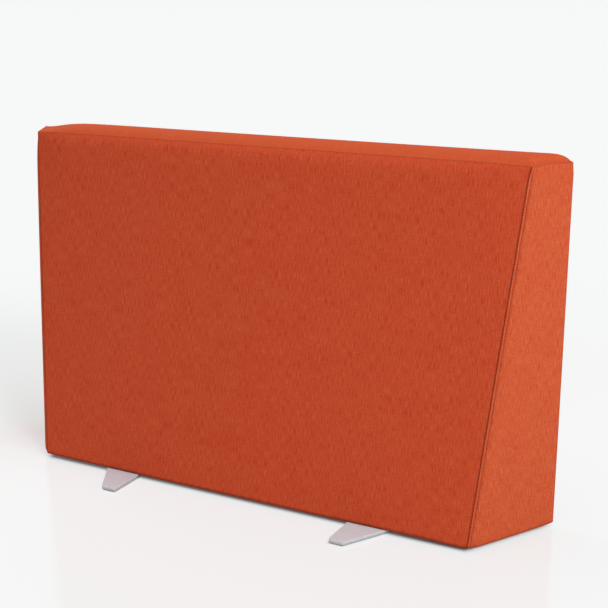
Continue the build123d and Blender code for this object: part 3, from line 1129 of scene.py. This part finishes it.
# %% Lamps
# Place, target, diameter and power of each
lamps = {
    "right_front_high": ((2.96, -2.07, 2.93), (0.2, 0, 0.4), 1.38, 57.5),
    "right": ((3.2, -0.3, 1.6), (0.3, 0, 0.4), 1.5, 19.3),
    "overhead": ((0, 0, 3.2), (0, 0, 0.4), 2.0, 17.9),
    "left_high": ((-2.5, 0.5, 2.5), (0, 0, 0.4), 1.5, 20.3),
}
for name, (place, target, size, power) in lamps.items():
    light = bpy.data.lights.new(name, "AREA")
    light.shape, light.size, light.energy = "DISK", size, power
    holder = bpy.data.objects.new(name, light)
    holder.location = place
    holder.rotation_euler = (Vector(target) - Vector(place)).to_track_quat("-Z", "Y").to_euler()
    bpy.context.scene.collection.objects.link(holder)

# %% Room
# How bright the room looks, and how strongly it lights the divider
backdrop_tone = 0.939
ambient = 0.437
white = (1, 1, 1, 1)


def seen_directly(finish):
    """1 for rays of the camera and of mirrors and glass, 0 for the rays that light the object."""
    kinds = ("Is Camera Ray", "Is Glossy Ray", "Is Transmission Ray")
    camera_ray, *others = (finish.add("LightPath", {}, {}, kind) for kind in kinds)
    return camera_ray.largest(*others)


world = bpy.data.worlds.new("room")
bpy.context.scene.world = world
room = Finish(world)
lit = room.add("Background", {}, {"Color": white, "Strength": ambient})
shown = room.add("Background", {}, {"Color": white, "Strength": backdrop_tone})
blend = room.add("MixShader", {}, {0: seen_directly(room), 1: lit, 2: shown})
room.add("OutputWorld", {}, {"Surface": blend})

# %% Floor
floor_colour = (0.9, 0.905, 0.9)
# The floor that the camera sees takes back the red that the cloth throws on it
cool_floor_colour = (0.885, 0.905, 0.902)
glow_colour = (0.995, 1.0, 1.0, 1)
floor_size = 600
floor_gloss = 0.06
gloss_roughness = 0.12
# Share of the shade that shows in front, and how far the full shade reaches from the body and the feet
front_shade = 0.22
contact_reach = 0.011
foot_shade_reach = 0.005
shade_insets = {"front": 0.004, "back": 0.0, "left_end": 0.006, "right_end": 0.006}
# Behind the left end the shade grows to the full one between these distances
left_shade_from = 0.15
left_shade_to = 0.75


def lamp_light(finish, place, target, power):
    """What one lamp gives the floor at each place, as if all its light came from its middle."""
    aim = (Vector(target) - Vector(place)).normalized()
    reach = finish.place().apart(*place)
    squared = reach.squared()
    strength = floor_colour[0] * power * place[2] / math.pi ** 2
    return (reach.along(*aim).math("MAXIMUM", 0.0) * strength).math("DIVIDE", squared * squared)


def beside_body(finish):
    """Distance of a place on the floor from the body's outline, negative under it."""
    sides = []
    for name in shade_insets:
        level = Vector((*normals[name].xy, 0)).normalized()
        sides.append(finish.place().along(*level) - (level.dot(corners[name][0]) - shade_insets[name]))
    return sides[0].largest(*sides[1:])


def beside_feet(finish):
    """Distance of a place on the floor from the outline of the nearest foot, negative under it."""
    x, y = finish.place().part("X").math("ABSOLUTE"), finish.place().part("Y")
    outer = (x - plate_high.x) * math.cos(mitre) + (plate_high.y - y) * math.sin(mitre)
    return outer.largest(plate_low.x - x, plate_low.y - y, y - back_y)


def shaded_share(finish):
    """Share of the shade that shows: all under the body and behind its left end, and less in front."""
    smoothly = {"interpolation_type": "SMOOTHSTEP"}
    behind_left = finish.place().along(-math.sqrt(0.5), math.sqrt(0.5), 0)
    left = finish.ramp(behind_left, left_shade_from, left_shade_to, front_shade, 1.0, **smoothly)
    body = finish.ramp(beside_body(finish), -contact_reach, contact_reach, 1.0, front_shade, **smoothly)
    feet = finish.ramp(beside_feet(finish), 0.0, foot_shade_reach, 1.0, front_shade, **smoothly)
    return left.largest(body, feet)


def floor_finish():
    finish = finish_of("floor")
    lit = sum((lamp_light(finish, place, target, power) for place, target, _, power in lamps.values()),
              start=ambient * floor_colour[0])
    share = shaded_share(finish)
    glow = (backdrop_tone - lit * share).math("MAXIMUM", 0.0)
    matt = finish.add("BsdfDiffuse", {}, {"Color": (*floor_colour, 1)})
    pale = finish.add("BsdfDiffuse", {}, {"Color": finish.mix(share, (0, 0, 0), cool_floor_colour)})
    glowing = finish.add("Emission", {}, {"Color": glow_colour, "Strength": glow})
    shown = finish.add("AddShader", {}, {0: pale, 1: glowing})
    mirror = finish.add("BsdfAnisotropic", {}, {"Color": white, "Roughness": gloss_roughness})
    shown = finish.add("MixShader", {}, {0: floor_gloss, 1: shown, 2: mirror})
    surface = finish.add("MixShader", {}, {0: seen_directly(finish), 1: matt, 2: shown})
    finish.add("OutputMaterial", {}, {"Surface": surface})
    return finish.owner


bpy.ops.object.select_all(action="DESELECT")
bpy.ops.mesh.primitive_plane_add(size=floor_size)
floor = bpy.context.object
floor.name = "floor"
give(floor, floor_finish())
bpy.context.scene.view_settings.view_transform = "Standard"
